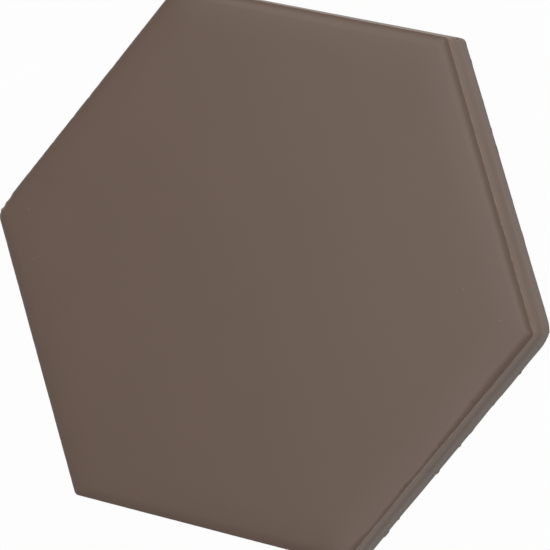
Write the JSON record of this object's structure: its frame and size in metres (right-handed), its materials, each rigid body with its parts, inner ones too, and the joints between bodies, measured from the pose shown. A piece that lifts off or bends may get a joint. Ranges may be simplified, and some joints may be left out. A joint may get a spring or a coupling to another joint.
{
  "type": "hexagonal ceramic tile",
  "caption": "Flat hexagonal porcelain tile with a matt brown face, a rolled face edge, a stepped side wall and a grooved back for bedding in adhesive.",
  "frame": {"origin": "middle of the back, on the plane that the tile rests and is bedded on", "axes": "+Z out of the face, +X square to one side, +Y through two opposite corners"},
  "size_m": [0.101, 0.1162, 0.009],
  "materials": {
    "tile": "matt brown porcelain, fine and smooth on the face, rougher and a little greyer on the pressed sides and back"
  },
  "bodies": {
    "root": {"tile": "tile"}
  },
  "joints": []
}
